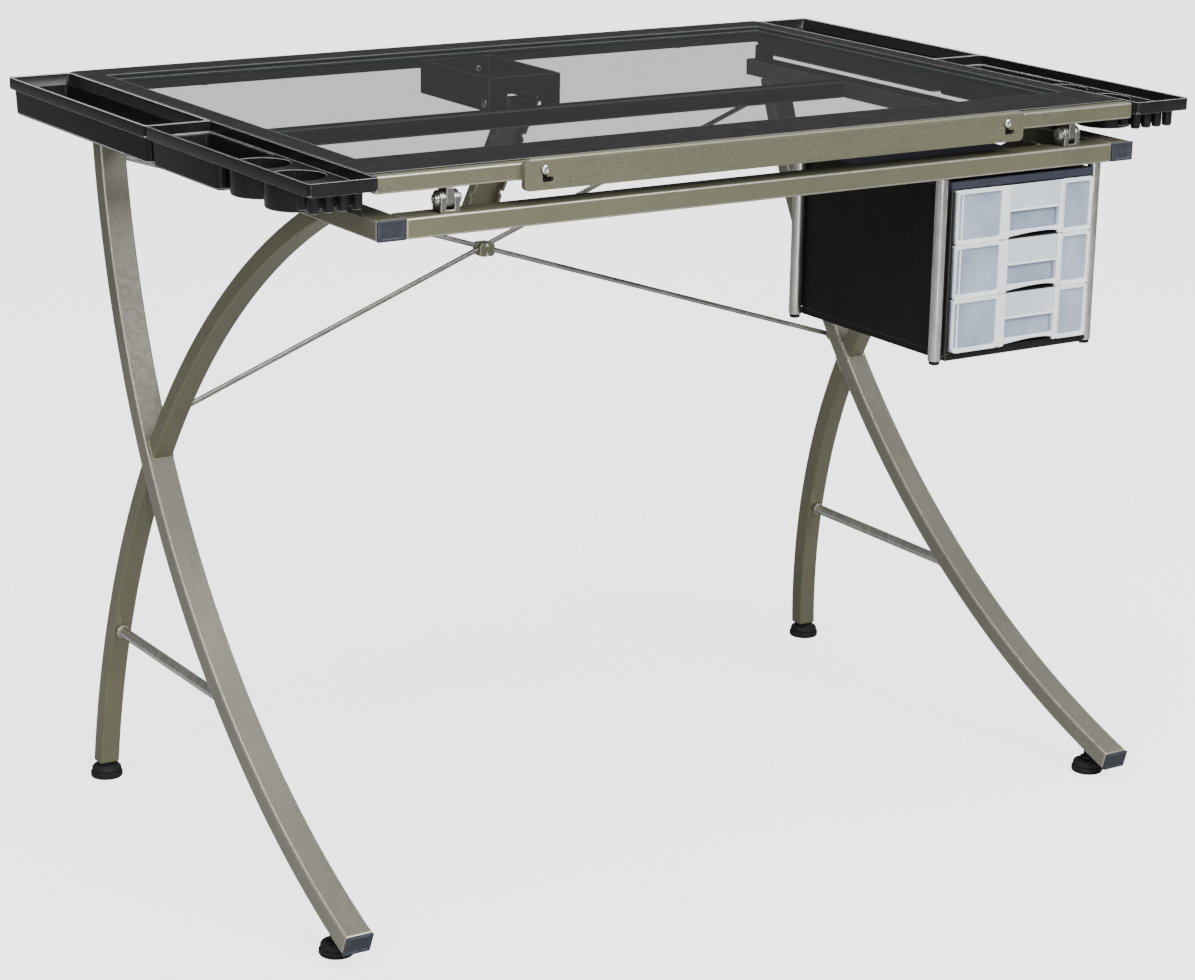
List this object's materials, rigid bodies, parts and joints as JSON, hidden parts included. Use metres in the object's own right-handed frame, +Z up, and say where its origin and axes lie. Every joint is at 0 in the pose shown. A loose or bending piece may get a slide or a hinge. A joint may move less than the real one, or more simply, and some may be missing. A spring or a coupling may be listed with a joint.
{
  "type": "drafting_table",
  "caption": "Drafting table with a tinted glass tilting top, curved crossed metal legs, side trays, a pencil ledge and a hanging drawer unit.",
  "frame": {"origin": "centre of the bounding box on the floor, under the middle of the table", "axes": "+X along the long side to the right of a person at the front, +Y to the back, +Z up"},
  "size_m": [1.0706, 0.7154, 0.788],
  "materials": {
    "pewter_paint": "metallic pewter powder coat, fine sparkle, satin",
    "black_metal": "black powder coat, low sheen",
    "black_plastic": "moulded black plastic, semi-gloss edges",
    "black_rubber": "matte black rubber",
    "satin_rod": "satin plated rod, soft highlight",
    "bright_steel": "bright zinc fastener",
    "tinted_glass": "lightly tinted clear safety glass, polished edge",
    "black_panel": "matte black board",
    "frosted_plastic": "translucent frosted white plastic"
  },
  "bodies": {
    "base": {"base_front_rail": "pewter_paint", "base_side_rail_left": "pewter_paint", "base_side_rail_right": "pewter_paint", "leg_long_left": "pewter_paint", "leg_long_right": "pewter_paint", "leg_short_upper_left": "pewter_paint", "leg_short_upper_right": "pewter_paint", "leg_short_lower_left": "pewter_paint", "leg_short_lower_right": "pewter_paint", "brace_clamp": "pewter_paint", "base_rear_rail": "black_metal", "drawer_hanger": "black_metal", "rail_plug_front_left": "black_plastic", "rail_plug_front_right": "black_plastic", "rail_plug_back_left": "black_plastic", "rail_plug_back_right": "black_plastic", "leg_plug_left": "black_plastic", "leg_plug_right": "black_plastic", "foot_stretcher_left": "satin_rod", "foot_stretcher_right": "satin_rod", "brace_rod_left": "satin_rod", "brace_rod_right": "satin_rod", "hinge_fork_left": "satin_rod", "hinge_fork_right": "satin_rod", "drawer_post_front_left": "satin_rod", "drawer_post_front_right": "satin_rod", "drawer_post_rear_left": "satin_rod", "drawer_post_rear_right": "satin_rod", "hinge_bolt_left": "bright_steel", "hinge_bolt_right": "bright_steel", "drawer_case_floor": "black_panel", "drawer_case_roof": "black_panel", "drawer_case_side_left": "black_panel", "drawer_case_side_right": "black_panel", "drawer_case_back": "black_panel"},
    "top": {"top_frame": "black_plastic", "glass_pane": "tinted_glass", "top_front_rail": "pewter_paint", "hinge_tongue_left": "satin_rod", "hinge_tongue_right": "satin_rod", "ledge_screw_left": "bright_steel", "ledge_screw_right": "bright_steel", "prop_bracket": "black_metal", "prop_pin": "bright_steel", "rest_pad_left": "black_rubber", "rest_pad_right": "black_rubber"},
    "ledge": {"pencil_ledge": "pewter_paint"},
    "prop": {"tilt_prop": "pewter_paint"},
    "drawer_box_bottom": {"drawer_bottom": "frosted_plastic"},
    "drawer_box_middle": {"drawer_middle": "frosted_plastic"},
    "drawer_box_top": {"drawer_top": "frosted_plastic"},
    "side_tray_rear_left": {"tray_rear_left": "black_plastic"},
    "side_tray_rear_right": {"tray_rear_right": "black_plastic"},
    "side_tray_front_left": {"tray_front_left": "black_plastic"},
    "side_tray_front_right": {"tray_front_right": "black_plastic"},
    "foot_front_left": {"leveler_front_left": "black_rubber"},
    "foot_front_right": {"leveler_front_right": "black_rubber"},
    "foot_back_left": {"leveler_back_left": "black_rubber"},
    "foot_back_right": {"leveler_back_right": "black_rubber"}
  },
  "joints": [
    {"name": "top_tilt", "type": "hinge", "parent": "base", "child": "top", "pos_m": [0, -0.33183, 0.755], "axis": [1, 0, 0], "range_deg": [0, 30]},
    {"name": "ledge_lift", "type": "slide", "parent": "top", "child": "ledge", "axis": [0, 0, 1], "range_m": [0, 0.0095]},
    {"name": "prop_fold", "type": "hinge", "parent": "top", "child": "prop", "pos_m": [0, 0.16217, 0.747], "axis": [1, 0, 0], "range_deg": [0, 45]},
    {"name": "drawer_bottom_slide", "type": "slide", "parent": "base", "child": "drawer_box_bottom", "axis": [0, -1, 0], "range_m": [0, 0.19]},
    {"name": "drawer_middle_slide", "type": "slide", "parent": "base", "child": "drawer_box_middle", "axis": [0, -1, 0], "range_m": [0, 0.19]},
    {"name": "drawer_top_slide", "type": "slide", "parent": "base", "child": "drawer_box_top", "axis": [0, -1, 0], "range_m": [0, 0.19]},
    {"name": "tray_rear_left_lift", "type": "slide", "parent": "top", "child": "side_tray_rear_left", "axis": [0, 0, 1], "range_m": [0, 0.08]},
    {"name": "tray_rear_right_lift", "type": "slide", "parent": "top", "child": "side_tray_rear_right", "axis": [0, 0, 1], "range_m": [0, 0.08]},
    {"name": "tray_front_left_lift", "type": "slide", "parent": "top", "child": "side_tray_front_left", "axis": [0, 0, 1], "range_m": [0, 0.08]},
    {"name": "tray_front_right_lift", "type": "slide", "parent": "top", "child": "side_tray_front_right", "axis": [0, 0, 1], "range_m": [0, 0.08]},
    {"name": "leveler_front_left_screw", "type": "slide", "parent": "base", "child": "foot_front_left", "axis": [0, 0, -1], "range_m": [0, 0.008]},
    {"name": "leveler_front_right_screw", "type": "slide", "parent": "base", "child": "foot_front_right", "axis": [0, 0, -1], "range_m": [0, 0.008]},
    {"name": "leveler_back_left_screw", "type": "slide", "parent": "base", "child": "foot_back_left", "axis": [0, 0, -1], "range_m": [0, 0.008]},
    {"name": "leveler_back_right_screw", "type": "slide", "parent": "base", "child": "foot_back_right", "axis": [0, 0, -1], "range_m": [0, 0.008]}
  ]
}
